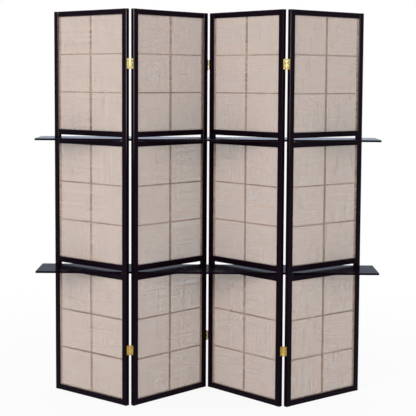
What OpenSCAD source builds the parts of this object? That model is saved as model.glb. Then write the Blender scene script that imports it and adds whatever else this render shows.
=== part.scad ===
// Folding screen: four framed fabric panels on brass hinges, standing in a zigzag, with two
// long shelf boards that pass through slots in all four panels.
// The origin is on the floor in the middle of the screen. +X is to the right as seen from
// the front, +Y goes to the back and +Z is up. Panels count from 1 at the left.

/* [Panels] */
// Height of a panel
panel_h = 1784; // [1600:1:2000]
// Width of a panel over both of its stiles
panel_w = 447; // [436:1:520]
// Depth of the frame, from its front face to its back face
frame_d = 20; // [19:0.5:26]
// Width of a stile across the panel's face
stile_w = 26; // [22:0.5:33]
// Height of a rail
rail_h = 25; // [22:0.5:36]
// Height of the slot that a shelf board passes through
slot_h = 17; // [14:0.5:30]
// Height of the lower fabric section
lower_section_h = 547; // [450:1:600]
// Height of the middle fabric section
middle_section_h = 534; // [450:1:600]
// Radius of the long rounded edges of stiles and rails
arris_r = 1.5; // [0.5:0.1:2.5]

/* [Stance] */
// Turn of the two inner panels from the screen's width
inner_angle = 43.4; // [40:0.1:55]
// Turn of the two outer panels from the screen's width
outer_angle = 36.6; // [35.5:0.1:48]

/* [Joinery] */
// Length of a rail's tenon
tenon_l = 12; // [8:0.5:16]
// Height of a tenon
tenon_h = 15; // [8:0.5:18]
// Thickness of a tenon
tenon_t = 6; // [4:0.5:7]
// Room for glue round a tenon
glue_gap = 0.1; // [0.05:0.05:0.3]

/* [Fabric] */
// Setback of the fabric behind the frame's front face
fabric_setback = 4.5; // [3.5:0.1:5]
// Thickness of the fabric
fabric_t = 1; // [0.6:0.1:1.2]
// Depth of the groove that holds the edge of the fabric
groove_d = 4; // [2:0.5:6]
// Clearance between the fabric and what is beside it
fabric_gap = 0.3; // [0.2:0.05:0.4]

/* [Lattice] */
// Width of a lattice bar across the panel's face
bar_w = 6; // [4:0.5:14]
// Depth of a lattice bar
bar_d = 8; // [5:0.5:12]
// Columns of fields in a section
field_columns = 2; // [2:1:4]
// Rows of fields in a section
field_rows = 3; // [2:1:5]
// Clearance in the half laps where two bars cross
lap_gap = 0.1; // [0.05:0.05:0.2]

/* [Shelves] */
// Length of a shelf board
shelf_l = 1552; // [1500:1:1700]
// Depth of a shelf board, from its front edge to its back edge
shelf_d = 203; // [150:1:209]
// Thickness of a shelf board
shelf_t = 9; // [6:0.5:12]
// Radius of the long rounded edges of a board
shelf_r = 1.2; // [0.5:0.1:2.5]
// Clearance between a board and the rails that it lies on
shelf_seat = 0.3; // [0.1:0.05:0.5]
// Distance of a board in front of the middle of its room between the stiles
shelf_forward = 1; // [-1.5:0.1:1.5]

/* [Hinges] */
// Height of a hinge
hinge_h = 46; // [38:1:70]
// Height of the middle of the lower hinges above the floor
hinge_low = 252; // [150:1:400]
// Distance of the middle of the upper hinges below the top
hinge_high = 241; // [150:1:400]
// Thickness of a leaf
leaf_t = 1.2; // [1:0.1:1.6]
// Distance by which a leaf stops short of the far face of the frame
leaf_short = 2.5; // [2:0.5:6]
// Radius of a leaf's outer corners
leaf_corner_r = 2; // [1:0.5:4]
// Number of knuckles in a hinge
knuckles = 5; // [3:2:7]
// Clearance between two knuckles
knuckle_gap = 0.3; // [0.2:0.1:0.6]
// Distance of the pin's axis outside the face of the frame
pin_out = 2.7; // [2.6:0.1:5]
// Radius of a hinge pin
pin_r = 1.5; // [1.3:0.05:1.9]
// Clearance between a pin and its knuckles
pin_gap = 0.05; // [0.02:0.01:0.1]
// Radius of a pin's riveted head
pin_head_r = 2.3; // [2.1:0.1:2.5]
// Height of a pin's riveted head
pin_head_h = 0.8; // [0.6:0.1:1.2]
// Clearance under a pin's head
pin_end_gap = 0.15; // [0.05:0.05:0.4]

/* [Screws] */
// Distance between the two screws in a leaf
screw_pitch = 26; // [20:1:28]
// Length of a screw in the wood
screw_l = 13; // [8:0.5:14]
// Length of a screw's tapered point
screw_point = 3; // [1:0.5:5]
// Radius of a screw's shank
screw_r = 1.4; // [1:0.1:1.7]
// Radius of a screw's countersunk head
screw_head_r = 2.6; // [2.2:0.1:3]
// Clearance round a screw
screw_gap = 0.05; // [0.02:0.01:0.1]

/* [Hidden] */
$fn = 48;

// Length by which a cut runs past the face that it opens
over = 1;

FRAME = "#2a1f22";
CLOTH = "#c8baae";
BRASS = "#d8b45a";
BOARD = "#241c1d";

// Heights of the rails, the fabric sections and the slots, from the floor up
crossing_h = 2 * rail_h + slot_h;
upper_section_h = panel_h - 2 * rail_h - 2 * crossing_h - lower_section_h - middle_section_h;
section_h = [lower_section_h, middle_section_h, upper_section_h];
middle_section_z = rail_h + lower_section_h + crossing_h;
section_z = [rail_h, middle_section_z, middle_section_z + middle_section_h + crossing_h];
under_rail_z = [for (z = section_z) z - rail_h];
over_rail_z = [for (i = [0:2]) section_z[i] + section_h[i]];
slot_z = [for (i = [0:1]) over_rail_z[i] + rail_h];
opening_w = panel_w - 2 * stile_w;
hinge_z = [hinge_low, panel_h - hinge_high];

// Places across the depth of the frame, from its front face
groove_y = fabric_setback - fabric_gap;
groove_w = fabric_t + 2 * fabric_gap;
bar_y = fabric_setback + fabric_t + fabric_gap;
fabric_reach = groove_d - fabric_gap;

// A knuckle is rolled from the leaf, and lies in line with the leaf's seat on the stile
knuckle_r = pin_r + pin_gap + leaf_t;
leaf_reach = pin_out + frame_d - leaf_short;
knuckle_pitch = hinge_h / knuckles;

// The folds: 1 left, 2 centre, 3 right. The pins stand behind the outer folds and in front
// of the centre one, so the screen closes like an accordion.
function pin_y(fold) = fold == 2 ? -pin_out : frame_d + pin_out;
turns = [0, -outer_angle, inner_angle, -inner_angle, outer_angle];

function turned(p, angle) =
    [p.x * cos(angle) - p.y * sin(angle), p.x * sin(angle) + p.y * cos(angle)];

// Front left corners of the panels in plan, worked outwards from the pin of the centre fold
left_x = -knuckle_r;
right_x = panel_w + knuckle_r;
corner_2 = -turned([right_x, pin_y(2)], turns[2]);
pin_1 = corner_2 + turned([left_x, pin_y(1)], turns[2]);
corner_1 = pin_1 - turned([right_x, pin_y(1)], turns[1]);
corner_3 = -turned([left_x, pin_y(2)], turns[3]);
pin_3 = corner_3 + turned([right_x, pin_y(3)], turns[3]);
corner_4 = pin_3 - turned([left_x, pin_y(3)], turns[4]);
corners = [[0, 0], corner_1, corner_2, corner_3, corner_4];

function spot(panel, x, y) = corners[panel] + turned([x, y], turns[panel]);

// The origin lies midway between the screen's frontmost and rearmost rounded edges
edge_y = [for (panel = [1:4], x = [arris_r, panel_w - arris_r], y = [arris_r, frame_d - arris_r])
    spot(panel, x, y).y];
fold_y = -(min(edge_y) + max(edge_y)) / 2;

// The boards have room between the stiles behind them and those in front of them
room_back = min(spot(1, stile_w, 0).y, spot(2, panel_w - stile_w, 0).y);
room_front = max(spot(1, panel_w - stile_w, frame_d).y, spot(2, stile_w, frame_d).y);
shelf_back = (room_back + room_front + shelf_d) / 2 - shelf_forward;

PANEL_PIECES = ["left_stile", "right_stile", "top_rail", "bottom_rail", "upper_slot_rails",
    "lower_slot_rails", "lattice", "upper_fabric", "middle_fabric", "lower_fabric",
    "hinge_screws"];

// Stands what follows on its panel's place in the zigzag
module on_panel(panel) {
    translate([corners[panel].x, corners[panel].y + fold_y, 0])
        rotate([0, 0, turns[panel]])
            children();
}

// Turns what follows round to the panel's other edge
module other_edge() {
    translate([panel_w, 0, 0])
        mirror([1, 0, 0])
            children();
}

// Rectangle with rounded corners
module soft_rectangle(w, h, r) {
    translate([r, 0]) square([w - 2 * r, h]);
    translate([0, r]) square([w, h - 2 * r]);
    for (x = [r, w - r], y = [r, h - r])
        translate([x, y]) circle(r);
}

// Bar that runs along X, with its long edges rounded
module bar_along_x(l, d, h, r) {
    rotate([90, 0, 90])
        linear_extrude(l)
            soft_rectangle(d, h, r);
}

// Stile at the panel's left edge: mortises for the rails, grooves for the fabric and, on a
// hinged edge, pilot holes for the screws
module stile(hinged) {
    color(FRAME) difference() {
        linear_extrude(panel_h) soft_rectangle(stile_w, frame_d, arris_r);
        for (z = concat(under_rail_z, over_rail_z)) mortise(z);
        for (i = [0:2])
            translate([stile_w - groove_d, groove_y, section_z[i] - groove_d])
                cube([groove_d + over, groove_w, section_h[i] + 2 * groove_d]);
        if (hinged)
            at_screws()
                translate([-over, 0, 0])
                    rotate([0, 90, 0])
                        cylinder(h = over + screw_l + screw_gap, r = screw_r + screw_gap);
    }
}

module mortise(rail_z) {
    h = tenon_h + 2 * glue_gap;
    t = tenon_t + 2 * glue_gap;
    translate([stile_w - tenon_l - glue_gap, (frame_d - t) / 2, rail_z + (rail_h - h) / 2])
        cube([tenon_l + glue_gap + over, t, h]);
}

// Rail with a tenon at each end, grooved on the side that faces a fabric section
module rail(z, fabric_above) {
    groove_z = fabric_above ? z + rail_h - groove_d : z - over;
    color(FRAME) difference() {
        union() {
            translate([stile_w, 0, z]) bar_along_x(opening_w, frame_d, rail_h, arris_r);
            translate([stile_w - tenon_l, (frame_d - tenon_t) / 2, z + (rail_h - tenon_h) / 2])
                cube([opening_w + 2 * tenon_l, tenon_t, tenon_h]);
        }
        translate([stile_w - over, groove_y, groove_z])
            cube([opening_w + 2 * over, groove_w, groove_d + over]);
    }
}

// The two rails that frame a slot: one over the section below it, one under the section above
module slot_rails(slot) {
    rail(over_rail_z[slot], false);
    rail(under_rail_z[slot + 1], true);
}

// Fabric of one section, stretched flat with its edges in the grooves
module fabric(section) {
    color(CLOTH)
        translate([stile_w - fabric_reach, fabric_setback, section_z[section] - fabric_reach])
            cube([opening_w + 2 * fabric_reach, fabric_t, section_h[section] + 2 * fabric_reach]);
}

// Lattice behind the fabric of one section: upright bars notched at the back, and level bars
// notched at the front where they pass over them
module lattice_section(section) {
    column_w = opening_w / field_columns;
    row_h = section_h[section] / field_rows;
    bar_x = [for (i = [1:field_columns - 1]) stile_w + i * column_w - bar_w / 2];
    bar_z = [for (i = [1:field_rows - 1]) section_z[section] + i * row_h - bar_w / 2];
    notch_w = bar_w + 2 * lap_gap;
    notch_d = (bar_d + lap_gap) / 2;
    for (x = bar_x) difference() {
        translate([x, bar_y, section_z[section]]) cube([bar_w, bar_d, section_h[section]]);
        for (z = bar_z)
            translate([x - over, bar_y + bar_d - notch_d, z - lap_gap])
                cube([bar_w + 2 * over, notch_d + over, notch_w]);
    }
    for (z = bar_z) difference() {
        translate([stile_w, bar_y, z]) cube([opening_w, bar_d, bar_w]);
        for (x = bar_x)
            translate([x - lap_gap, bar_y - over, z - over])
                cube([notch_w, notch_d + over, bar_w + 2 * over]);
    }
}

module lattice() {
    color(FRAME) for (section = [0:2]) lattice_section(section);
}

// Shelf board, lying on the lower rails of its slots
module shelf(slot) {
    color(BOARD)
        translate([-shelf_l / 2, fold_y + shelf_back - shelf_d, slot_z[slot] + shelf_seat])
            bar_along_x(shelf_l, shelf_d, shelf_t, shelf_r);
}

// Leaves of one fold on the left edge of a panel, with their seats against the stile. The
// upper and the lower leaf are alike.
module leaves(pin_y, own_knuckles) {
    color(BRASS) for (z = hinge_z)
        translate([left_x, pin_y, z])
            mirror([0, pin_y > 0 ? 1 : 0, 0])
                leaf(own_knuckles);
}

// Leaf about its pin's axis, with the stile on its +X side and its plate along +Y
module leaf(own_knuckles) {
    plate_y = knuckle_r + knuckle_gap;
    difference() {
        union() {
            translate([knuckle_r - leaf_t, 0, -hinge_h / 2])
                rotate([90, 0, 90])
                    linear_extrude(leaf_t)
                        plate_outline(plate_y);
            for (i = own_knuckles)
                translate([0, 0, knuckle_low(i)]) {
                    cylinder(h = knuckle_top(i) - knuckle_low(i), r = knuckle_r);
                    translate([knuckle_r - leaf_t, 0, 0])
                        cube([leaf_t, plate_y + leaf_corner_r, knuckle_top(i) - knuckle_low(i)]);
                }
        }
        translate([0, 0, -hinge_h / 2 - over])
            cylinder(h = hinge_h + 2 * over, r = pin_r + pin_gap);
        for (side = [-1, 1])
            translate([knuckle_r - leaf_t, pin_out + frame_d / 2, side * screw_pitch / 2])
                rotate([0, 90, 0])
                    cylinder(h = leaf_t, r1 = screw_head_r + screw_gap, r2 = screw_r + screw_gap);
    }
}

// Plate of a leaf: square beside the knuckles, rounded at its outer corners
module plate_outline(start) {
    translate([start, 0]) square([leaf_reach - start - leaf_corner_r, hinge_h]);
    translate([start, leaf_corner_r]) square([leaf_reach - start, hinge_h - 2 * leaf_corner_r]);
    for (z = [leaf_corner_r, hinge_h - leaf_corner_r])
        translate([leaf_reach - leaf_corner_r, z]) circle(leaf_corner_r);
}

// Ends of a knuckle: the outer ones are flush with the plate, the others leave a gap
function knuckle_low(i) = -hinge_h / 2 + i * knuckle_pitch + (i > 0 ? knuckle_gap / 2 : 0);
function knuckle_top(i) =
    -hinge_h / 2 + (i + 1) * knuckle_pitch - (i < knuckles - 1 ? knuckle_gap / 2 : 0);

// The left leaf of a hinge has the end knuckles, the right leaf has those between
left_knuckles = [for (i = [0:2:knuckles - 1]) i];
right_knuckles = [for (i = [1:2:knuckles - 1]) i];

// Pins of one fold, each with a riveted head at both ends
module pins(place) {
    color(BRASS) for (z = hinge_z)
        translate([place.x, place.y + fold_y, z]) {
            pin_half();
            mirror([0, 0, 1]) pin_half();
        }
}

module pin_half() {
    dome_r = (pin_head_r * pin_head_r + pin_head_h * pin_head_h) / (2 * pin_head_h);
    rotate_extrude() {
        square([pin_r, hinge_h / 2 + pin_end_gap]);
        translate([0, hinge_h / 2 + pin_end_gap]) intersection() {
            translate([0, pin_head_h - dome_r]) circle(dome_r, $fn = 96);
            square([pin_head_r, pin_head_h]);
        }
    }
}

// Places of the screws on the panel's left edge
module at_screws() {
    for (z = hinge_z, side = [-1, 1])
        translate([0, frame_d / 2, z + side * screw_pitch / 2])
            children();
}

// Countersunk wood screw, driven along +X with its head flush with the leaf
module screw() {
    rotate([0, 90, 0]) {
        translate([0, 0, -leaf_t]) cylinder(h = leaf_t, r1 = screw_head_r, r2 = screw_r);
        cylinder(h = screw_l - screw_point, r = screw_r);
        translate([0, 0, screw_l - screw_point])
            cylinder(h = screw_point, r1 = screw_r, r2 = 0);
    }
}

module hinge_screws(panel) {
    color(BRASS) {
        if (panel > 1) at_screws() screw();
        if (panel < 4) other_edge() at_screws() screw();
    }
}

for (panel = [1:4]) {
    name = str("panel_", panel, "_");
    on_panel(panel) stile(panel > 1);
    on_panel(panel) other_edge() stile(panel < 4);
    on_panel(panel) rail(over_rail_z[2], false);
    on_panel(panel) rail(0, true);
    on_panel(panel) slot_rails(1);
    on_panel(panel) slot_rails(0);
    on_panel(panel) lattice();
    on_panel(panel) fabric(2);
    on_panel(panel) fabric(1);
    on_panel(panel) fabric(0);
    on_panel(panel) hinge_screws(panel);
}
on_panel(1) other_edge() leaves(pin_y(1), left_knuckles);  // left_fold_leaves_panel_1
on_panel(2) leaves(pin_y(1), right_knuckles);  // left_fold_leaves_panel_2
pins(pin_1);  // left_fold_pins
on_panel(2) other_edge() leaves(pin_y(2), left_knuckles);  // centre_fold_leaves_panel_2
on_panel(3) leaves(pin_y(2), right_knuckles);  // centre_fold_leaves_panel_3
pins([0, 0]);  // centre_fold_pins
on_panel(3) other_edge() leaves(pin_y(3), left_knuckles);  // right_fold_leaves_panel_3
on_panel(4) leaves(pin_y(3), right_knuckles);  // right_fold_leaves_panel_4
pins(pin_3);  // right_fold_pins
shelf(1);  // upper_shelf
shelf(0);  // lower_shelf
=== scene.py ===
"""The looks of a folding screen with two shelves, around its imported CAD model.

Four hinged wooden panels hold stretched cloth in front of a lattice, and two boards lie in
slots through all four. The wood, boards and hinges keep their CAD shapes and get a finish
here. The cloth, its slubs and the screws are made here, in the places of their CAD solids.
"""

import math

import bmesh
import bpy
import numpy as np
from bpy.props import FloatProperty, FloatVectorProperty, IntProperty, PointerProperty
from mathutils import Matrix, Vector


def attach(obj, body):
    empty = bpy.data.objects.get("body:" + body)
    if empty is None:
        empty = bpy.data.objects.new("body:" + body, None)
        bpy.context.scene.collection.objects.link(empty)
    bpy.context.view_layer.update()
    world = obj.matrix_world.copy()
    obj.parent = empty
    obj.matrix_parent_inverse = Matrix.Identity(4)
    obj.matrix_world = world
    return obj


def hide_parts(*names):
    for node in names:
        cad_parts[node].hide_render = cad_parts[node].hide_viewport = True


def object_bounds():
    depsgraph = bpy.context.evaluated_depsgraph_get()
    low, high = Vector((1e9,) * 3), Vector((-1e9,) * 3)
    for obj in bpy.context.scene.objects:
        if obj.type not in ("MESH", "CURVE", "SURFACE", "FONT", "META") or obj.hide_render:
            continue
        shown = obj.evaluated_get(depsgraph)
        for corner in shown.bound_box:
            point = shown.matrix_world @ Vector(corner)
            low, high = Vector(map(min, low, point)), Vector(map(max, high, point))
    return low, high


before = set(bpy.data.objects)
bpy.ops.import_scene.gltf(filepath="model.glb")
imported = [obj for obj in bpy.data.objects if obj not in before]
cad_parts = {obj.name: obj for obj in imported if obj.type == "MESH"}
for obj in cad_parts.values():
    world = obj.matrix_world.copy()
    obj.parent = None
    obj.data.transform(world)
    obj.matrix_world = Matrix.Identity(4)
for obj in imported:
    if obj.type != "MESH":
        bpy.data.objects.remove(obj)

bl_info = {
    "name": "Folding screen with shelves",
    "version": (1, 0, 0),
    "blender": (4, 5, 0),
    "location": "3D View > Sidebar > Folding screen",
    "description": "Finishes a folding screen: dark wood, woven cloth, brass hinges and screws",
    "category": "Object",
}

CAD_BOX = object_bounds()
# Each section of a panel, and the rails over and under it
SECTIONS = {
    "upper": ("top_rail", "upper_slot_rails"),
    "middle": ("upper_slot_rails", "lower_slot_rails"),
    "lower": ("lower_slot_rails", "bottom_rail"),
}
STILES = ("left_stile", "right_stile")
SHELVES = ("upper_shelf", "lower_shelf")
# Least height between two screws, in metres
SCREW_GAP = 0.005
# Random seeds for each panel's cloths
PANEL_SEEDS = 10
PHOTO_PIXELS = 416
CLOTH_UV = "cloth_metres"
WHITE = (1.0, 1.0, 1.0)


# Finding places in the frame


def node_points(node):
    """The corners of a CAD node's mesh, one row each, in metres."""
    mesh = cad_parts[node].data
    points = np.empty(len(mesh.vertices) * 3, np.float32)
    mesh.vertices.foreach_get("co", points)
    return points.reshape(-1, 3).astype(float)


class Panel:
    """One panel of the screen and its own axes: x along it, y from front to back, z up."""

    def __init__(self, number):
        self.name = f"panel_{number}"
        left = node_points(f"{self.name}_left_stile")
        right = node_points(f"{self.name}_right_stile")
        along = Vector((*(right.mean(0) - left.mean(0))[:2], 0)).normalized()
        back = Vector((-along.y, along.x, 0))
        corner = along * min(left @ along) + back * min(left @ back)
        axes = Matrix((along, back, Vector((0, 0, 1)))).transposed()
        self.turn = math.atan2(along.y, along.x)
        self.matrix = Matrix.Translation(corner) @ axes.to_4x4()
        self.width = max(right @ along) - min(left @ along)

    def points(self, node):
        """A node's corners in the panel's own axes."""
        inverse = np.array(self.matrix.inverted())
        return node_points(node) @ inverse[:3, :3].T + inverse[:3, 3]

    def box(self, node):
        """Lowest and highest corner of a node in the panel's own axes."""
        points = self.points(node)
        return Vector(points.min(0)), Vector(points.max(0))


PANELS = [Panel(number) for number in (1, 2, 3, 4)]


# Sizes and colours that a user would change


def number(name, description, default, **more):
    """A plain number."""
    return FloatProperty(name=name, description=description, default=default, **more)


def length(name, description, default):
    """A property in metres."""
    return number(name, description, default, min=0.0, unit="LENGTH", precision=5)


def angle(name, description, degrees):
    """A property written here in degrees and kept in radians."""
    return number(name, description, math.radians(degrees), subtype="ANGLE")


def share(name, description, default):
    """A property between 0 and 1."""
    return number(name, description, default, min=0.0, max=1.0, subtype="FACTOR")


def shares(name, description, default, **more):
    """Several numbers between 0 and 1 in one property."""
    return FloatVectorProperty(
        name=name, description=description, default=default, size=len(default), min=0.0, max=1.0, **more
    )


def colour(name, description, default):
    """A linear colour."""
    return shares(name, description, default, subtype="COLOR")


class ScreenWood(bpy.types.PropertyGroup):
    """The dark stained wood of frames, lattice and boards."""

    dark: colour("Dark grain", "Dark fibres under the stain", (0.0036, 0.0008, 0.0027))
    light: colour("Light grain", "Light fibres under the stain", (0.0082, 0.0019, 0.0060))
    board_dark: colour("Board dark grain", "Dark fibres of the shelf boards", (0.0032, 0.0010, 0.0028))
    board_light: colour("Board light grain", "Light fibres of the shelf boards", (0.0080, 0.0034, 0.0070))
    # Painted highlight: the rounded edges of frames and boards are painted pale from a height upwards, in a
    # share for each panel and one for the boards, standing in for the lamps' reflections on them.
    painted_edge_highlight: colour("Highlit edge", "Rounded edges, where hands rub them", (0.25, 0.19, 0.19))
    highlighting: shares("Highlighting", "How rubbed each panel's edges are, from the left one on", (1.0, 1.0, 0.08, 0.5))
    board_highlighting: share("Board wear", "How rubbed the edges of the boards are", 0.4)
    highlit_from: length("Highlit from", "Height at which the edges begin to be rubbed", 1.05)
    highlit_all: length("Highlit all over", "Height from which the edges are fully rubbed", 1.38)
    fibre: length("Fibre width", "Width of one streak of the grain", 0.0011)
    stretch: number("Stretch", "Length of a streak over its width", 26.0)
    grain_depth: length("Grain depth", "How deep the open grain is under the finish", 0.00006)
    unevenness: share("Unevenness", "How much the finish's roughness varies", 0.8)
    frame_roughness: share("Frame roughness", "Roughness of the frames' finish", 0.42)
    board_roughness: share("Board roughness", "Roughness of the boards' finish", 0.10)
    gloss: share("Gloss", "Specular level of the frames' finish", 0.05)
    board_gloss: share("Board gloss", "Specular level of the boards' finish", 0.0085)
    gloss_tint: colour("Gloss tint", "Tint of the reflections in the finish", (0.75, 0.88, 1.0))
    # The edges under the painted highlight also get this clear coat.
    edge_polish: share("Edge polish", "How much clear gloss the rubbed edges have", 1.0)
    edge_roughness: share("Edge roughness", "Roughness of the gloss on the rubbed edges", 0.15)
    edge_refraction: number("Edge refraction", "Refractive index of the gloss on the rubbed edges", 2.0)


class ScreenCloth(bpy.types.PropertyGroup):
    """The open woven cloth, its threads and its slubs."""

    thickness: length("Thickness", "Thickness of the cloth", 0.0007)
    ripple: length("Ripple", "How far the cloth waves to and fro", 0.0001)
    cell: length("Cell", "Size of one face of the cloth's mesh", 0.012)
    pitch: length("Thread pitch", "Distance between two threads", 0.0012)
    bare: share("Bare share", "Part of the pitch that has no thread over it", 0.445)
    unevenness: share("Unevenness", "How much the threads vary in width and place", 0.35)
    streak: length("Streak width", "Width of the streaks", 0.0050)
    streak_length: length("Streak length", "Length of the streaks", 0.45)
    streak_strength: number("Streak strength", "How clear the streaks are", 2.8)
    thread_depth: length("Thread depth", "Height of a thread over the gap beside it", 0.00030)
    thread_relief: share("Thread relief", "How much of the threads' height shows", 0.6)
    fuzz_depth: length("Fuzz depth", "Height of the fuzz on a slub", 0.0001)
    pale: colour("Pale thread", "The palest threads", (0.584, 0.445, 0.371))
    deep: colour("Deep thread", "The deepest threads", (0.371, 0.276, 0.221))
    roughness: share("Roughness", "Roughness of the yarn", 0.92)
    gloss: share("Gloss", "Specular level of the yarn", 0.15)
    slub_density: number("Slub density", "Slubs in a square metre, in each direction", 260.0)
    slub_short: length("Shortest slub", "Length of the shortest slub", 0.018)
    slub_long: length("Longest slub", "Length of the longest slub", 0.060)
    slub_width: length("Slub width", "Width of a slub at its middle", 0.0010)
    grip: length("Grip", "How far the slubs stay from a sheet's edges", 0.006)


class ScreenHinges(bpy.types.PropertyGroup):
    """The brass hinges and their screws."""

    # Painted light: the clean brass is paler above a height and deeper below it, lit and shaded copies of
    # one brass.
    brass: colour("Brass", "Clean brass high up", (0.88, 0.81, 0.53))
    shaded_brass: colour("Shaded brass", "Clean brass low down", (0.86, 0.66, 0.305))
    bright_from: length("Bright from", "Height from which the brass is pale", 1.0)
    tarnish: colour("Tarnish", "Brass that has darkened", (0.60, 0.42, 0.14))
    screw_brass: colour("Screw brass", "Clean brass of the screws", (0.34, 0.22, 0.07))
    roughness: share("Brass roughness", "Roughness of the rolled brass", 0.20)
    pin_lift: share("Pin roughness", "How much rougher the pins are than the leaves", 0.06)
    screw_lift: share("Screw roughness", "How much rougher the screws are than the leaves", 0.1)
    scratch: length("Scratch width", "Width of a rolling scratch", 0.00012)
    scratch_depth: length("Scratch depth", "Depth of a rolling scratch", 0.00001)
    head_segments: IntProperty(name="Head segments", description="Sides of a screw", default=20)
    thread_pitch: length("Thread pitch", "Distance between two turns of a screw's thread", 0.0013)
    thread_depth: length("Thread depth", "Depth of a screw's thread", 0.00028)
    shank_radius: length("Shank radius", "Radius of a screw under its head", 0.0014)
    point_length: length("Point length", "Length of a screw's tapered point", 0.003)
    head_depth: length("Head depth", "Depth of a screw's countersunk head", 0.0012)
    recess_width: length("Recess width", "Width of the slots of the cross recess", 0.0007)
    recess_span: length("Recess span", "Length of the slots of the cross recess", 0.0030)
    recess_depth: length("Recess depth", "Depth of the cross recess", 0.0009)


class ScreenStage(bpy.types.PropertyGroup):
    """The camera, floor and light."""

    camera_x: length("Camera right", "Place of the camera along X", 0.02415)
    camera_y: number("Camera back", "Place of the camera along Y", -4.7265, unit="LENGTH")
    camera_z: length("Camera height", "Place of the camera along Z", 1.46473)
    yaw: angle("Yaw", "Camera's turn to the left", 0.2914)
    pitch: angle("Pitch", "Camera's tilt downwards", 4.2432)
    roll: angle("Roll", "Camera's turn about its own line", -0.3199)
    focal_pixels: number("Focal length", "Focal length in pixels of the photograph", 1031.5)
    shift_y: number("Shift", "Upward shift of the lens", -0.12)
    ambient: share("Ambient", "Light from all round", 0.62)
    reflected: colour("Reflected white", "The surroundings' colour in reflections", (0.80, 0.90, 1.0))
    backdrop: colour("Reflected backdrop", "The backdrop's colour in reflections", (0.73, 0.81, 1.0))
    backdrop_edge: share("Backdrop's edge", "Part of the way to the back where the backdrop begins", 0.2)
    key_power: number("Key light", "Light from the left", 78.0, unit="POWER")
    fill_power: number("Fill light", "Light from the right", 30.0, unit="POWER")
    back_power: number("Back light", "Light from behind", 45.0, unit="POWER")
    floor_reach: length("Floor reach", "How far the floor goes to each side", 60.0)
    floor_drop: length("Floor drop", "How far the floor lies under the feet", 0.0004)
    floor_tone: share("Floor tone", "How pale the floor is where it only takes light", 0.8)
    floor_shadow: share("Floor shadow", "How much of the shadow the floor keeps", 0.10)
    shadow_near: length("Shadow near", "How far from the middle the shadow is kept best", 0.8)
    shadow_far: length("Shadow far", "How far from the middle the shadow has gone", 3.0)


# Writing node trees


class Wires:
    """Adds nodes to a tree and links them. A value that is a socket is linked, any other is set."""

    def __init__(self, tree):
        self.tree = tree

    def node(self, kind, inputs=None, **settings):
        """Adds a node, sets its own settings, then feeds its inputs."""
        made = self.tree.nodes.new(kind)
        for name, value in settings.items():
            setattr(made, name, value)
        self.feed(made.inputs, inputs or {})
        return made

    def first(self, kind, inputs=None, **settings):
        """The first output of a new node."""
        return self.node(kind, inputs, **settings).outputs[0]

    def feed(self, sockets, values):
        """Feeds sockets by name or number, and gives a colour its fourth number."""
        for key, value in values.items():
            socket = sockets[key]
            if isinstance(value, bpy.types.NodeSocket):
                self.tree.links.new(value, socket)
            elif socket.type == "RGBA":
                socket.default_value = (*value, 1.0)
            else:
                socket.default_value = value

    def math(self, operation, *values, **settings):
        """The result of one sum on one to three values."""
        return self.first("ShaderNodeMath", dict(enumerate(values)), operation=operation, **settings)

    def plus(self, a, b):
        return self.math("ADD", a, b)

    def minus(self, a, b):
        return self.math("SUBTRACT", a, b)

    def times(self, a, b):
        return self.math("MULTIPLY", a, b)

    def over(self, a, b):
        return self.math("DIVIDE", a, b)

    def larger(self, a, b):
        return self.math("MAXIMUM", a, b)

    def mix_colour(self, factor, a, b):
        return self.node("ShaderNodeMix", {0: factor, 6: a, 7: b}, data_type="RGBA").outputs[2]

    def mix_vector(self, factor, a, b):
        return self.node("ShaderNodeMix", {0: factor, 4: a, 5: b}, data_type="VECTOR").outputs[1]

    def step(self, value, low, high):
        """Goes smoothly from 0 to 1 as value goes from low to high."""
        limits = {"Value": value, "From Min": low, "From Max": high}
        return self.first("ShaderNodeMapRange", limits, interpolation_type="SMOOTHSTEP")

    def place(self):
        """Where a point of a piece lies, in metres."""
        return self.node("ShaderNodeTexCoord").outputs["Object"]

    def parts(self, vector):
        """The x, y and z of a vector."""
        return self.node("ShaderNodeSeparateXYZ", {0: vector}).outputs

    def vector(self, x, y, z):
        return self.first("ShaderNodeCombineXYZ", {0: x, 1: y, 2: z})

    def noise(self, vector, scale=1.0, detail=2.0, roughness=0.5):
        """A cloudy value around one half."""
        cloud = {"Vector": vector, "Scale": scale, "Detail": detail, "Roughness": roughness}
        return self.node("ShaderNodeTexNoise", cloud).outputs["Fac"]

    def around_nought(self, noise):
        """A cloudy value moved to lie around nought."""
        return self.minus(noise, 0.5)

    def random(self, low, high, seed):
        """A number between low and high, different for each point."""
        draw = {2: low, 3: high, "Seed": seed}
        return self.node("FunctionNodeRandomValue", draw, data_type="FLOAT").outputs[1]


def node_group(name, kind, inputs, outputs):
    """An empty node group: its tree, wires, inputs and the inputs of its end.

    inputs gives each input's default number, or else its kind. outputs gives each output's kind.
    """
    tree = bpy.data.node_groups.new(name, kind)
    for label, default in inputs.items():
        number_kind = "Int" if isinstance(default, int) else "Float"
        socket_kind = default if isinstance(default, str) else number_kind
        socket = tree.interface.new_socket(label, in_out="INPUT", socket_type=f"NodeSocket{socket_kind}")
        if socket_kind is number_kind:
            socket.default_value = default
    for label, socket_kind in outputs.items():
        tree.interface.new_socket(label, in_out="OUTPUT", socket_type=f"NodeSocket{socket_kind}")
    wires = Wires(tree)
    given = wires.node("NodeGroupInput").outputs
    end = wires.node("NodeGroupOutput").inputs
    return tree, wires, given, end


def shader_group(name, inputs, outputs):
    """An empty group for materials, whose outputs are all numbers: its wires, inputs and end."""
    return node_group(name, "ShaderNodeTree", inputs, dict.fromkeys(outputs, "Float"))[1:]


def geometry_group(name, inputs):
    """An empty Geometry Nodes tree that puts out one geometry."""
    return node_group(name, "GeometryNodeTree", inputs, {"Geometry": "Geometry"})


def emptied(owner):
    """The wires of a material's or a world's node tree, with its first nodes taken out."""
    owner.use_nodes = True
    owner.node_tree.nodes.clear()
    return Wires(owner.node_tree)


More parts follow.
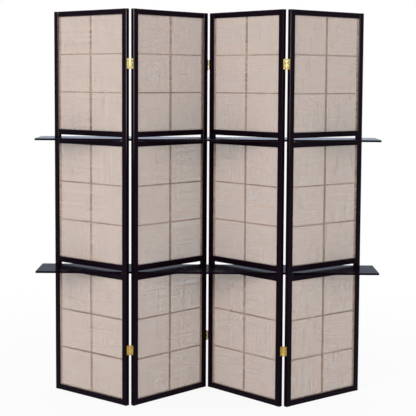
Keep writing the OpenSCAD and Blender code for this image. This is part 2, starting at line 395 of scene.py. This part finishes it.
def new_material(name):
    """A material, its wires and the inputs of its Principled shader, already linked to the output."""
    material = bpy.data.materials.new(name)
    wires = emptied(material)
    shader = wires.node("ShaderNodeBsdfPrincipled")
    wires.node("ShaderNodeOutputMaterial", {"Surface": shader.outputs["BSDF"]})
    return material, wires, shader.inputs


# The effects that materials share


def grain_group():
    """Wood grain along Z: its tone, the height of its open pores and the change of its sheen."""
    wires, given, end = shader_group(
        "wood_grain",
        {"Place": "Vector", "Fibre Width": 0.001, "Stretch": 25.0},
        ("Tone", "Height", "Sheen"),
    )
    fibre_scale, pore_scale, figure_scale = 0.55, 1.7, 0.045
    pore_shortness = 2.5
    pore_edge, pore_floor = 0.40, 0.30
    tone_share = 0.6
    darkest, lightest = 0.42, 0.80
    x, y, z = wires.parts(given["Place"])
    fibre = given["Fibre Width"]
    across_x = wires.over(x, fibre)
    across_y = wires.over(y, fibre)
    along = wires.over(z, wires.times(fibre, given["Stretch"]))
    long_cells = wires.vector(across_x, across_y, along)
    short_cells = wires.vector(across_x, across_y, wires.times(along, pore_shortness))
    fibres = wires.noise(long_cells, fibre_scale, detail=4.0, roughness=0.6)
    pores = wires.noise(short_cells, pore_scale, detail=1.0)
    figure = wires.noise(long_cells, figure_scale)
    dents = wires.step(pores, pore_edge, pore_floor)
    tone = wires.math("MULTIPLY_ADD", figure, tone_share, wires.times(fibres, tone_share))
    outputs = {
        "Tone": wires.step(tone, darkest, lightest),
        "Height": wires.math("MULTIPLY_ADD", dents, -1.0, fibres),
        "Sheen": wires.around_nought(figure),
    }
    wires.feed(end, outputs)


def edge_group():
    """1 on the rounded edges of a piece whose flat faces look along the axes, and 0 on its faces."""
    wires, given, end = shader_group("rounded_edges", {"Facing": "Vector"}, ("Edge",))
    flat, rounded = 0.97, 0.86
    x, y, z = (wires.math("ABSOLUTE", part) for part in wires.parts(given["Facing"]))
    flattest = wires.larger(x, wires.larger(y, z))
    wires.feed(end, {"Edge": wires.step(flattest, flat, rounded)})


def weave_group():
    """A plain weave in the XY plane: how much thread covers a point, its height and its tone."""
    wires, given, end = shader_group(
        "plain_weave",
        {
            "Place": "Vector",
            "Pitch": 0.0012,
            "Bare Share": 0.5,
            "Unevenness": 0.3,
            "Streak Width": 0.004,
            "Streak Length": 0.1,
            "Streak Strength": 1.0,
        },
        ("Cover", "Height", "Tone"),
    )
    sway_scale, sway_reach = 70.0, 6.0
    yarn_step, yarn_slowness = 3.71, 0.03
    yarn_reach = -2.4
    thread_softness = 0.12
    tone_reach, middle_tone = 1.3, 0.5
    uneven = given["Unevenness"]
    x, y, _ = wires.parts(given["Place"])
    sway = wires.around_nought(wires.noise(given["Place"], sway_scale))
    sway = wires.times(wires.times(sway, uneven), sway_reach)
    column = wires.plus(wires.over(x, given["Pitch"]), sway)
    row = wires.plus(wires.over(y, given["Pitch"]), sway)
    wave_x = wires.math("SINE", wires.times(column, math.pi))
    wave_y = wires.math("SINE", wires.times(row, math.pi))
    crest_x = wires.math("ABSOLUTE", wave_x)
    crest_y = wires.math("ABSOLUTE", wave_y)
    crossing = wires.times(wave_x, wave_y)
    warp = wires.plus(crest_x, crossing)
    weft = wires.minus(crest_y, crossing)

    def yarn(thread, along):
        """How thick one thread is along its way, different for each thread."""
        place = wires.vector(wires.times(thread, yarn_step), wires.times(along, yarn_slowness), 0.0)
        return wires.around_nought(wires.noise(place, detail=1.0))

    def streaks(fast, slow):
        """Long bands in one direction in which the threads are thicker or thinner."""
        fast = wires.over(fast, given["Streak Width"])
        slow = wires.over(slow, given["Streak Length"])
        bands = wires.around_nought(wires.noise(wires.vector(fast, slow, 0.0)))
        return wires.times(bands, given["Streak Strength"])

    def covered(crest, thickness):
        """1 on the thread and 0 in the gap beside it."""
        gap = wires.times(thickness, wires.times(uneven, yarn_reach))
        gap = wires.times(wires.plus(gap, 1.0), given["Bare Share"])
        edge = wires.math("SINE", wires.times(gap, math.pi / 2))
        return wires.step(crest, wires.minus(edge, thread_softness), wires.plus(edge, thread_softness))

    warp_yarn = wires.plus(yarn(wires.math("FLOOR", column), row), streaks(x, y))
    weft_yarn = wires.plus(yarn(wires.math("FLOOR", row), column), streaks(y, x))
    cover = wires.larger(covered(crest_x, warp_yarn), covered(crest_y, weft_yarn))
    height = wires.times(wires.larger(warp, weft), 0.5)
    yarns = wires.plus(warp_yarn, weft_yarn)
    outputs = {
        "Cover": cover,
        "Height": wires.times(height, cover),
        "Tone": wires.math("MULTIPLY_ADD", yarns, tone_reach, middle_tone, use_clamp=True),
    }
    wires.feed(end, outputs)


def rolled_metal_group():
    """Fine scratches along Z and slow darkening, for rolled brass."""
    wires, given, end = shader_group(
        "rolled_metal",
        {"Place": "Vector", "Scratch Width": 0.0001},
        ("Tarnish", "Height", "Roughening"),
    )
    scratch_stretch = 30.0
    cloud_scale = 160.0
    bright, darkened = 0.43, 0.62
    scratch_roughness = 0.5
    x, y, z = wires.parts(given["Place"])
    width = given["Scratch Width"]
    along = wires.over(z, wires.times(width, scratch_stretch))
    scratches = wires.noise(wires.vector(wires.over(x, width), wires.over(y, width), along))
    clouds = wires.noise(given["Place"], cloud_scale, detail=3.0)
    outputs = {
        "Tarnish": wires.step(clouds, bright, darkened),
        "Height": scratches,
        "Roughening": wires.times(wires.around_nought(scratches), scratch_roughness),
    }
    wires.feed(end, outputs)


# Materials


def use_group(wires, name, inputs):
    """The outputs of a shader node group that is placed here with its own inputs."""
    return wires.node("ShaderNodeGroup", inputs, node_tree=bpy.data.node_groups[name]).outputs


def bump(wires, height, distance, strength=1.0):
    """The surface's normal under a fine relief that is distance high, in metres."""
    relief = {"Height": height, "Distance": distance, "Strength": strength}
    return wires.first("ShaderNodeBump", relief)


def stained_wood(name, wood, turn, grain, highlighting, colours, roughness, gloss):
    """Dark stained wood under a thin satin finish, on a piece turned about Z, with a painted highlight on
    its rounded edges.

    grain(wires) gives a place with the grain along Z, and colours are the dark and the light fibres'.
    """
    material, wires, surface = new_material(name)
    fibres = {"Place": grain(wires), "Fibre Width": wood.fibre, "Stretch": wood.stretch}
    effect = use_group(wires, "wood_grain", fibres)
    whole = wires.node("ShaderNodeTexCoord").outputs
    straight = {"Vector": whole["Normal"], "Rotation": (0, 0, -turn)}
    facing = wires.first("ShaderNodeMapping", straight, vector_type="VECTOR")
    edge = use_group(wires, "rounded_edges", {"Facing": facing})["Edge"]
    # Painted highlight: the rounded edges get a pale colour and a clear coat from a height upwards,
    # standing in for the lamps' reflections on them.
    lit_above = wires.step(wires.parts(whole["Object"])[2], wood.highlit_from, wood.highlit_all)
    highlit = wires.times(wires.times(edge, lit_above), highlighting)
    stain = wires.mix_colour(effect["Tone"], *colours)
    looks = {
        "Base Color": wires.mix_colour(highlit, stain, wood.painted_edge_highlight),
        "Roughness": wires.math("MULTIPLY_ADD", effect["Sheen"], wood.unevenness * roughness, roughness),
        "Normal": bump(wires, effect["Height"], wood.grain_depth),
        "Coat Weight": wires.times(highlit, wood.edge_polish),
        "Coat Roughness": wood.edge_roughness,
        "Coat IOR": wood.edge_refraction,
        "Specular IOR Level": gloss,
        "Specular Tint": wood.gloss_tint,
    }
    wires.feed(surface, looks)
    return material


def board_grain(wires):
    """Grain along X, as in the shelf boards."""
    x, y, z = wires.parts(wires.place())
    return wires.vector(y, z, x)


def panel_grain(panel, upright=None):
    """Grain along a panel, as in its rails, and upright between the two x values of upright."""

    def grain(wires):
        onto_panel = {
            "Vector": wires.place(),
            "Rotation": (0.0, 0.0, -panel.turn),
            "Location": panel.matrix.inverted().translation,
        }
        turned = wires.first("ShaderNodeMapping", onto_panel, vector_type="POINT")
        x, y, z = wires.parts(turned)
        level = wires.vector(z, y, x)
        if upright is None:
            return level
        middle = sum(upright) / 2
        reach = (upright[1] - upright[0]) / 2
        offset = wires.math("ABSOLUTE", wires.minus(x, middle))
        return wires.mix_vector(wires.math("LESS_THAN", offset, reach), level, turned)

    return grain


def brass_material(name, colours, hinges, lift=0.0):
    """Rolled brass with fine scratches. lift makes it rougher, for the small turned pieces.

    colours are those of the clean brass low down and high up, and of the tarnish; the low one is a painted
    shade and the high one a painted highlight.
    """
    shaded_low_brass, lit_high_brass, tarnish = colours
    material, wires, surface = new_material(name)
    place = wires.place()
    effect = use_group(wires, "rolled_metal", {"Place": place, "Scratch Width": hinges.scratch})
    # Painted light: paler brass above a height, deeper brass below it.
    high_up = wires.math("GREATER_THAN", wires.parts(place)[2], hinges.bright_from)
    clean = wires.mix_colour(high_up, shaded_low_brass, lit_high_brass)
    looks = {
        "Base Color": wires.mix_colour(effect["Tarnish"], clean, tarnish),
        "Roughness": wires.plus(effect["Roughening"], hinges.roughness + lift),
        "Normal": bump(wires, effect["Height"], hinges.scratch_depth),
        "Metallic": 1.0,
    }
    wires.feed(surface, looks)
    return material


def cloth_material(cloth):
    """Open plain weave. Only the wall that faces the viewer covers, so two walls don't cover twice."""
    material, wires, surface = new_material("open_weave")
    weave = {
        "Place": wires.first("ShaderNodeUVMap", uv_map=CLOTH_UV),
        "Pitch": cloth.pitch,
        "Bare Share": cloth.bare,
        "Unevenness": cloth.unevenness,
        "Streak Width": cloth.streak,
        "Streak Length": cloth.streak_length,
        "Streak Strength": cloth.streak_strength,
    }
    effect = use_group(wires, "plain_weave", weave)
    facing_away = wires.node("ShaderNodeNewGeometry").outputs["Backfacing"]
    looks = {
        "Base Color": wires.mix_colour(effect["Tone"], cloth.deep, cloth.pale),
        "Alpha": wires.times(effect["Cover"], wires.minus(1.0, facing_away)),
        "Normal": bump(wires, effect["Height"], cloth.thread_depth, cloth.thread_relief),
        "Roughness": cloth.roughness,
        "Specular IOR Level": cloth.gloss,
    }
    wires.feed(surface, looks)
    return material


def slub_material(cloth):
    """A thick soft place in a thread, with a fine fuzz, paler and deeper from place to place."""
    material, wires, surface = new_material("slub_yarn")
    fuzz_scale, tone_scale = 2600.0, 45.0
    place = wires.place()
    fuzz = wires.noise(place, fuzz_scale, detail=3.0)
    looks = {
        "Base Color": wires.mix_colour(wires.noise(place, tone_scale, detail=1.0), cloth.deep, cloth.pale),
        "Normal": bump(wires, fuzz, cloth.fuzz_depth),
        "Roughness": cloth.roughness,
        "Specular IOR Level": cloth.gloss,
    }
    wires.feed(surface, looks)
    return material


def paint(nodes, material):
    """Gives CAD nodes a better material in the slots that they have."""
    for node in nodes:
        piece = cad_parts[node]
        if not piece.material_slots:
            piece.data.materials.append(material)
        for place in piece.material_slots:
            place.material = material


# Making pieces


def add_object(name, data):
    """Puts a new object with this mesh, camera or lamp into the scene."""
    made = bpy.data.objects.new(name, data)
    bpy.context.scene.collection.objects.link(made)
    return made


def new_mesh(name, corners, faces=()):
    mesh = bpy.data.meshes.new(name)
    mesh.from_pydata(corners, [], faces)
    return mesh


def add_piece(name, mesh, body):
    """Puts a mesh that has its place and its material into the scene, on its body."""
    mesh.name = name
    piece = add_object(name, mesh)
    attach(piece, body)
    return piece


def baked(source):
    """The plain mesh that an object's modifiers make of it. The object goes, with its modifiers."""
    graph = bpy.context.evaluated_depsgraph_get()
    made = bpy.data.meshes.new_from_object(source.evaluated_get(graph), depsgraph=graph)
    bpy.data.objects.remove(source)
    return made


def grown(mesh, tree, values, matrix):
    """The plain mesh that a Geometry Nodes tree makes of a mesh with these named values."""
    seedling = add_object("seedling", mesh)
    modifier = seedling.modifiers.new("nodes", "NODES")
    modifier.node_group = tree
    for socket in tree.interface.items_tree:
        if socket.in_out == "INPUT" and socket.name in values:
            modifier[socket.identifier] = values[socket.name]
    made = baked(seedling)
    made.transform(matrix)
    return made


def put_out(wires, end, instances, material):
    """Ends a tree: makes its instances real, gives them a material and puts them out."""
    real = wires.first("GeometryNodeRealizeInstances", {"Geometry": instances})
    finished = wires.first("GeometryNodeSetMaterial", {"Geometry": real, "Material": material})
    wires.feed(end, {"Geometry": finished})


def cloth_mesh(low, high, cloth, seed):
    """A thin closed sheet between two corners in a panel's axes, with a slight ripple."""
    columns = round((high.x - low.x) / cloth.cell)
    rows = round((high.z - low.z) / cloth.cell)
    middle = (low.y + high.y) / 2
    pattern_room = 9.0
    draw = np.random.default_rng(seed)
    phases = draw.uniform(0.0, 2 * math.pi, 4)
    # Half waves along the sheet and up it, and where they start, for two ripples that cross
    ripples = ((5, 3, phases[0], phases[1]), (2, 8, phases[2], phases[3]))

    def wave(u, v):
        """The cloth's distance from its flat place: none at the edges, where the frame grips it."""
        free = math.sin(math.pi * u) * math.sin(math.pi * v)
        crossed = sum(
            math.sin(across * math.pi * u + start_u) * math.sin(up * math.pi * v + start_v)
            for across, up, start_u, start_v in ripples
        )
        return cloth.ripple * free * crossed / len(ripples)

    places = [(column / columns, row / rows) for row in range(rows + 1) for column in range(columns + 1)]
    corners = []
    for side in (-0.5, 0.5):
        for u, v in places:
            y = middle + wave(u, v) + side * cloth.thickness
            corners.append((low.x + u * (high.x - low.x), y, low.z + v * (high.z - low.z)))
    stride = columns + 1
    layer = stride * (rows + 1)
    faces = []
    for row in range(rows):
        for column in range(columns):
            start = row * stride + column
            front = (start, start + 1, start + 1 + stride, start + stride)
            faces.append(front)
            faces.append(tuple(layer + corner for corner in reversed(front)))
    rim = list(range(columns))
    rim += [row * stride + columns for row in range(rows)]
    rim += [rows * stride + column for column in range(columns, 0, -1)]
    rim += [row * stride for row in range(rows, 0, -1)]
    for here, there in zip(rim, rim[1:] + rim[:1]):
        faces.append((there, here, here + layer, there + layer))
    mesh = new_mesh("cloth", corners, faces)
    pattern = mesh.uv_layers.new(name=CLOTH_UV)
    offset = draw.uniform(0.0, pattern_room, 2)
    for loop, uv in zip(mesh.loops, pattern.data):
        corner = corners[loop.vertex_index]
        uv.uv = (corner[0] - low.x + offset[0], corner[2] - low.z + offset[1])
    mesh.shade_smooth()
    return mesh


def slub_tree():
    """Slubs scattered over a flat field in the XY plane, some along X and some along Y."""
    tree, wires, given, end = geometry_group(
        "cloth_slubs",
        {
            "Width": 0.4,
            "Height": 0.5,
            "Density": 200.0,
            "Shortest": 0.02,
            "Longest": 0.06,
            "Slub Width": 0.001,
            "Slub Depth": 0.0009,
            "Seed": 1,
            "Material": "Material",
        },
    )
    joints, sides = 7, 6
    fullness, tip = 0.6, 0.1
    upright_seed, width_seed = 100.0, 7.0
    line = wires.first("GeometryNodeCurvePrimitiveLine", {"Start": (-0.5, 0, 0), "End": (0.5, 0, 0)})
    bent = wires.first("GeometryNodeResampleCurve", {"Curve": line, "Count": joints})
    along = wires.node("GeometryNodeSplineParameter").outputs["Factor"]
    swell = wires.math("POWER", wires.math("SINE", wires.times(along, math.pi)), fullness)
    radius = wires.math("MULTIPLY_ADD", swell, 1.0 - tip, tip)
    shaped = wires.first("GeometryNodeSetCurveRadius", {"Curve": bent, "Radius": radius})
    ring = wires.first("GeometryNodeCurvePrimitiveCircle", {"Resolution": sides, "Radius": 0.5})
    sweep = {"Curve": shaped, "Profile Curve": ring, "Fill Caps": True}
    spindle = wires.first("GeometryNodeCurveToMesh", sweep)

    def scattered(size_x, size_y, turn, seed_step):
        """One direction's slubs, on a field narrowed so that none passes its ends."""
        grid = {"Size X": size_x, "Size Y": size_y, "Vertices X": 2, "Vertices Y": 2}
        field = wires.first("GeometryNodeMeshGrid", grid)
        seed = wires.plus(given["Seed"], seed_step)
        strewing = {"Mesh": field, "Density": given["Density"], "Seed": seed}
        points = wires.first("GeometryNodeDistributePointsOnFaces", strewing, distribute_method="RANDOM")
        long = wires.random(given["Shortest"], given["Longest"], seed)
        narrowest = wires.times(given["Slub Width"], 0.5)
        wide = wires.random(narrowest, given["Slub Width"], wires.plus(seed, width_seed))
        placing = {
            "Points": points,
            "Instance": spindle,
            "Rotation": (0.0, 0.0, turn),
            "Scale": wires.vector(long, wide, given["Slub Depth"]),
        }
        return wires.first("GeometryNodeInstanceOnPoints", placing)

    short_width = wires.minus(given["Width"], given["Longest"])
    short_height = wires.minus(given["Height"], given["Longest"])
    level = scattered(short_width, given["Height"], 0.0, 0.0)
    upright = scattered(given["Width"], short_height, math.pi / 2, upright_seed)
    both = wires.node("GeometryNodeJoinGeometry", {0: level})
    wires.feed(both.inputs, {0: upright})
    put_out(wires, end, both.outputs[0], given["Material"])
    return tree


def sheet_slubs(panel, section, low, high, cloth, scatter, yarn, seed):
    """The slubs of one sheet between two corners, clear of the grooves that grip its edges."""
    values = {
        "Width": high.x - low.x - 2 * cloth.grip,
        "Height": high.z - low.z - 2 * cloth.grip,
        "Density": cloth.slub_density,
        "Shortest": cloth.slub_short,
        "Longest": cloth.slub_long,
        "Slub Width": cloth.slub_width,
        "Slub Depth": high.y - low.y,
        "Seed": seed,
        "Material": yarn,
    }
    flat_to_upright = Matrix.Rotation(math.pi / 2, 4, "X")
    matrix = panel.matrix @ Matrix.Translation((low + high) / 2) @ flat_to_upright
    mesh = grown(bpy.data.meshes.new("field"), scatter, values, matrix)
    mesh.shade_smooth()
    return add_piece(f"{panel.name}_{section}_slubs", mesh, panel.name)


def screw_template(hinges, head_radius, screw_length):
    """One countersunk wood screw along -Z with its head's face at 0, as a closed mesh."""
    rim_share, flank_share = 0.1, 0.35
    shank = hinges.shank_radius
    root = shank - hinges.thread_depth
    rim = rim_share * hinges.head_depth
    profile = [(head_radius, 0.0), (head_radius, -rim), (shank, -hinges.head_depth)]
    z = -hinges.head_depth - hinges.thread_pitch
    end = -screw_length
    while z > end + hinges.thread_pitch / 2:
        taper = min(1.0, (z - end) / hinges.point_length)
        profile.append((root * taper, z + flank_share * hinges.thread_pitch))
        profile.append((shank * taper, z))
        z -= hinges.thread_pitch
    segments = hinges.head_segments
    angles = [2 * math.pi * turn / segments for turn in range(segments)]
    corners = [
        (radius * math.cos(angle), radius * math.sin(angle), z) for radius, z in profile for angle in angles
    ]
    faces = [tuple(range(segments))]
    for ring in range(len(profile) - 1):
        for turn in range(segments):
            here = ring * segments + turn
            there = ring * segments + (turn + 1) % segments
            faces.append((here, here + segments, there + segments, there))
    corners.append((0.0, 0.0, end))
    last = (len(profile) - 1) * segments
    for turn in range(segments):
        faces.append((last + turn, len(corners) - 1, last + (turn + 1) % segments))
    return cut_recess(new_mesh("screw", corners, faces), hinges)


def cut_recess(mesh, hinges):
    """Cuts the cross recess into a screw's head and returns the new mesh."""
    deep_span_share, deep_width_share = 0.45, 0.7
    cutter = bmesh.new()
    for turn in (0.0, math.pi / 2):
        made = bmesh.ops.create_cube(cutter, size=1.0)
        for corner in made["verts"]:
            deep = corner.co.z < 0
            corner.co.x *= hinges.recess_span * (deep_span_share if deep else 1.0)
            corner.co.y *= hinges.recess_width * (deep_width_share if deep else 1.0)
            corner.co.z = -hinges.recess_depth if deep else hinges.recess_depth
        bmesh.ops.rotate(cutter, verts=made["verts"], matrix=Matrix.Rotation(turn, 3, "Z"))
    cutter_mesh = bpy.data.meshes.new("recess")
    cutter.to_mesh(cutter_mesh)
    cutter.free()
    screw = add_object("screw", mesh)
    recess = add_object("recess", cutter_mesh)
    cut = screw.modifiers.new("recess", "BOOLEAN")
    cut.operation = "DIFFERENCE"
    cut.solver = "EXACT"
    cut.use_self = True
    cut.object = recess
    made = baked(screw)
    bpy.data.objects.remove(recess)
    return made


def screw_tree():
    """Screws on points. Each point's outward attribute says where its head looks."""
    tree, wires, given, end = geometry_group(
        "hinge_screws",
        {"Geometry": "Geometry", "Screw": "Object", "Size": 1.0, "Seed": 1, "Material": "Material"},
    )
    shape = wires.node("GeometryNodeObjectInfo", {"Object": given["Screw"], "As Instance": True})
    attribute = {"Name": "outward"}
    outward = wires.first("GeometryNodeInputNamedAttribute", attribute, data_type="FLOAT_VECTOR")
    facing = wires.first("FunctionNodeAlignRotationToVector", {"Vector": outward}, axis="Z")
    spin = wires.vector(0.0, 0.0, wires.random(0.0, math.pi, given["Seed"]))
    turning = {"Rotation": facing, "Rotate By": spin}
    turned = wires.first("FunctionNodeRotateRotation", turning, rotation_space="LOCAL")
    placing = {
        "Points": given["Geometry"],
        "Instance": shape.outputs["Geometry"],
        "Rotation": turned,
        "Scale": wires.vector(given["Size"], given["Size"], given["Size"]),
    }
    placed = wires.first("GeometryNodeInstanceOnPoints", placing)
    put_out(wires, end, placed, given["Material"])
    return tree


def screw_places(panel):
    """Each screw in the panel's axes: its head's middle, where that looks, and its size."""
    points = panel.points(f"{panel.name}_hinge_screws")
    places = []
    for side in (-1, 1):
        on_side = points[(points[:, 0] - panel.width / 2) * side > 0]
        if not len(on_side):
            continue
        upwards = np.argsort(on_side[:, 2])
        jumps = np.diff(on_side[upwards, 2]) > SCREW_GAP
        for rows in np.split(upwards, np.flatnonzero(jumps) + 1):
            low, high = on_side[rows].min(0), on_side[rows].max(0)
            face = high[0] if side > 0 else low[0]
            middle = Vector((face, (low[1] + high[1]) / 2, (low[2] + high[2]) / 2))
            places.append((middle, Vector((side, 0, 0)), Vector(high - low)))
    return places


# The stage

# Each light's place and width, in metres
LIGHTS = {
    "key": ((-2.6, -3.3, 2.4), 1.6),
    "fill": ((3.0, -3.0, 2.2), 2.4),
    "back": ((0.6, 3.0, 4.4), 2.4),
}


def set_camera(scene, stage):
    """Stands the camera where the photograph was taken from."""
    camera = bpy.data.cameras.new("camera")
    camera.lens = camera.sensor_width * stage.focal_pixels / PHOTO_PIXELS
    camera.shift_y = stage.shift_y
    viewer = add_object("camera", camera)
    ahead = Matrix.Rotation(stage.yaw, 4, "Z") @ Matrix.Rotation(math.pi / 2 - stage.pitch, 4, "X")
    place = Matrix.Translation((stage.camera_x, stage.camera_y, stage.camera_z))
    viewer.matrix_world = place @ ahead @ Matrix.Rotation(-stage.roll, 4, "Z")
    scene.camera = viewer


def set_world(scene, stage):
    """White behind everything, and a dimmer even light on the object."""
    world = bpy.data.worlds.new("studio")
    wires = emptied(world)
    direction = wires.parts(wires.node("ShaderNodeTexCoord").outputs["Generated"])
    behind = wires.step(direction[1], 0.0, stage.backdrop_edge)
    reflected = wires.mix_colour(behind, stage.reflected, stage.backdrop)
    seen, white = seen_directly(wires, reflected)
    light = wires.mix_colour(seen, [stage.ambient] * 3, white)
    background = wires.first("ShaderNodeBackground", {"Color": light, "Strength": 1.0})
    wires.node("ShaderNodeOutputWorld", {"Surface": background})
    scene.world = world


def seen_directly(wires, reflected):
    """1 for rays that see a surface and 0 for those that only light, and the white they see.

    The camera, a gloss and a glass see. A gloss sees the reflected colour in place of white.
    """
    path = wires.node("ShaderNodeLightPath").outputs
    gloss = path["Is Glossy Ray"]
    glass = wires.larger(gloss, path["Is Transmission Ray"])
    seen = wires.larger(path["Is Camera Ray"], glass)
    return seen, wires.mix_colour(gloss, WHITE, reflected)


def set_floor(stage):
    """A pale floor that looks white and keeps a faint shadow near the object."""
    reach = stage.floor_reach
    corners = [(-reach, -reach, 0), (reach, -reach, 0), (reach, reach, 0), (-reach, reach, 0)]
    mesh = new_mesh("floor", corners, [(0, 1, 2, 3)])
    floor = add_object("floor", mesh)
    floor.location.z = -stage.floor_drop
    material = bpy.data.materials.new("pale_floor")
    wires = emptied(material)
    distance = wires.node("ShaderNodeVectorMath", {0: wires.place()}, operation="LENGTH")
    near = wires.step(distance.outputs["Value"], stage.shadow_far, stage.shadow_near)
    shadow = wires.times(near, stage.floor_shadow)
    seen, white = seen_directly(wires, stage.reflected)
    diffuse = wires.first("ShaderNodeBsdfDiffuse", {"Color": [stage.floor_tone] * 3})
    glow = wires.first("ShaderNodeEmission", {"Color": white, "Strength": 1.0})
    kept = wires.larger(shadow, wires.minus(1.0, seen))
    mix = wires.first("ShaderNodeMixShader", {0: kept, 1: glow, 2: diffuse})
    wires.node("ShaderNodeOutputMaterial", {"Surface": mix})
    mesh.materials.append(material)


def hang_light(name, place, width, power):
    """A soft square light that looks at the middle of the screen."""
    lamp = bpy.data.lights.new(name, "AREA")
    lamp.size = width
    lamp.energy = power
    light = add_object(name, lamp)
    low, high = CAD_BOX
    aim = (low + high) / 2 - Vector(place)
    light.location = place
    light.rotation_mode = "QUATERNION"
    light.rotation_quaternion = aim.to_track_quat("-Z", "Y")


# Operators


class SCREEN_OT_finish_frames(bpy.types.Operator):
    """Give the stiles, rails and lattice their dark stained wood"""

    bl_idname = "folding_screen.finish_frames"
    bl_label = "Finish frames"

    def execute(self, context):
        wood = context.scene.screen_wood
        grain_group()
        edge_group()
        finish = ((wood.dark, wood.light), wood.frame_roughness, wood.gloss)
        rails = ("top_rail", "bottom_rail", "upper_slot_rails", "lower_slot_rails")
        # Each panel gets its own share of the painted edge highlight.
        for panel, highlighting in zip(PANELS, wood.highlighting):
            low, high = panel.box(f"{panel.name}_lattice")
            middle = (low.x + high.x) / 2
            half = (high.y - low.y) / 2
            members = {
                "upright": (Wires.place, STILES),
                "level": (panel_grain(panel), rails),
                "lattice": (panel_grain(panel, (middle - half, middle + half)), ("lattice",)),
            }
            for kind, (grain, pieces) in members.items():
                name = f"{panel.name}_{kind}_wood"
                material = stained_wood(name, wood, panel.turn, grain, highlighting, *finish)
                paint([f"{panel.name}_{piece}" for piece in pieces], material)
        return {"FINISHED"}


class SCREEN_OT_finish_boards(bpy.types.Operator):
    """Give the two shelf boards their satin wood"""

    bl_idname = "folding_screen.finish_boards"
    bl_label = "Finish boards"

    def execute(self, context):
        wood = context.scene.screen_wood
        colours = (wood.board_dark, wood.board_light)
        # The boards get their own share of the painted edge highlight.
        finish = (wood.board_highlighting, colours, wood.board_roughness, wood.board_gloss)
        paint(SHELVES, stained_wood("board_wood", wood, 0.0, board_grain, *finish))
        return {"FINISHED"}


class SCREEN_OT_finish_hinges(bpy.types.Operator):
    """Give the hinge leaves and pins their brass"""

    bl_idname = "folding_screen.finish_hinges"
    bl_label = "Finish hinges"

    def execute(self, context):
        hinges = context.scene.screen_hinges
        rolled_metal_group()
        # Painted light: shaded brass low down, and the clean brass as its lit copy high up.
        colours = (hinges.shaded_brass, hinges.brass, hinges.tarnish)
        leaf_brass = brass_material("leaf_brass", colours, hinges)
        pin_brass = brass_material("pin_brass", colours, hinges, hinges.pin_lift)
        paint([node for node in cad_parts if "_fold_leaves_" in node], leaf_brass)
        paint([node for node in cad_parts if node.endswith("_fold_pins")], pin_brass)
        return {"FINISHED"}


class SCREEN_OT_stretch_cloths(bpy.types.Operator):
    """Stretch the twelve sheets of open woven cloth, with their slubs, in the panels"""

    bl_idname = "folding_screen.stretch_cloths"
    bl_label = "Stretch cloths"

    def execute(self, context):
        cloth = context.scene.screen_cloth
        weave_group()
        woven = cloth_material(cloth)
        yarn = slub_material(cloth)
        scatter = slub_tree()
        for index, panel in enumerate(PANELS):
            for row, (section, rails) in enumerate(SECTIONS.items()):
                seed = PANEL_SEEDS * index + row
                node = f"{panel.name}_{section}_fabric"
                low, high = panel.box(node)
                mesh = cloth_mesh(low, high, cloth, seed)
                mesh.transform(panel.matrix)
                mesh.materials.append(woven)
                piece = add_piece(f"{panel.name}_{section}_cloth", mesh, panel.name)
                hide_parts(node)
                slubs = sheet_slubs(panel, section, low, high, cloth, scatter, yarn, seed)
        return {"FINISHED"}


class SCREEN_OT_drive_screws(bpy.types.Operator):
    """Drive the cross-headed brass screws of the hinges"""

    bl_idname = "folding_screen.drive_screws"
    bl_label = "Drive screws"

    def execute(self, context):
        hinges = context.scene.screen_hinges
        colours = (hinges.screw_brass, hinges.screw_brass, hinges.tarnish)
        brass = brass_material("screw_brass", colours, hinges, hinges.screw_lift)
        _, _, size = screw_places(PANELS[0])[0]
        template = add_object("screw_template", screw_template(hinges, size.z / 2, size.x))
        tree = screw_tree()
        for index, panel in enumerate(PANELS):
            places = screw_places(panel)
            spots = new_mesh("spots", [middle for middle, _, _ in places])
            outward = spots.attributes.new("outward", "FLOAT_VECTOR", "POINT")
            for value, (_, direction, _) in zip(outward.data, places):
                value.vector = direction
            values = {"Screw": template, "Size": 1.0, "Seed": index, "Material": brass}
            mesh = grown(spots, tree, values, panel.matrix)
            piece = add_piece(f"{panel.name}_cross_screws", mesh, panel.name)
            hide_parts(f"{panel.name}_hinge_screws")
        bpy.data.objects.remove(template)
        return {"FINISHED"}


class SCREEN_OT_set_stage(bpy.types.Operator):
    """Set the camera, the pale floor and the soft light"""

    bl_idname = "folding_screen.set_stage"
    bl_label = "Set stage"

    def execute(self, context):
        stage = context.scene.screen_stage
        set_camera(context.scene, stage)
        set_world(context.scene, stage)
        set_floor(stage)
        for name, (place, width) in LIGHTS.items():
            hang_light(name, place, width, getattr(stage, f"{name}_power"))
        context.scene.view_settings.view_transform = "Standard"
        return {"FINISHED"}


class SCREEN_PT_panel(bpy.types.Panel):
    """Lists the steps that finish the screen"""

    bl_label = "Folding screen"
    bl_space_type = "VIEW_3D"
    bl_region_type = "UI"
    bl_category = "Folding screen"

    def draw(self, context):
        for step in STEPS:
            self.layout.operator(step.bl_idname)
        for group in SETTINGS:
            box = self.layout.box()
            settings = getattr(context.scene, group)
            for name in settings.__annotations__:
                box.prop(settings, name)


SETTINGS = {
    "screen_wood": ScreenWood,
    "screen_cloth": ScreenCloth,
    "screen_hinges": ScreenHinges,
    "screen_stage": ScreenStage,
}
STEPS = (
    SCREEN_OT_set_stage,
    SCREEN_OT_finish_frames,
    SCREEN_OT_finish_boards,
    SCREEN_OT_finish_hinges,
    SCREEN_OT_stretch_cloths,
    SCREEN_OT_drive_screws,
)
CLASSES = (*SETTINGS.values(), *STEPS, SCREEN_PT_panel)


def register():
    for each in CLASSES:
        bpy.utils.register_class(each)
    for name, settings in SETTINGS.items():
        setattr(bpy.types.Scene, name, PointerProperty(type=settings))


def unregister():
    for name in SETTINGS:
        delattr(bpy.types.Scene, name)
    for each in reversed(CLASSES):
        bpy.utils.unregister_class(each)


def main():
    """Makes everything in order."""
    register()
    for step in STEPS:
        group, name = step.bl_idname.split(".")
        getattr(getattr(bpy.ops, group), name)()


if __name__ == "__main__":
    main()
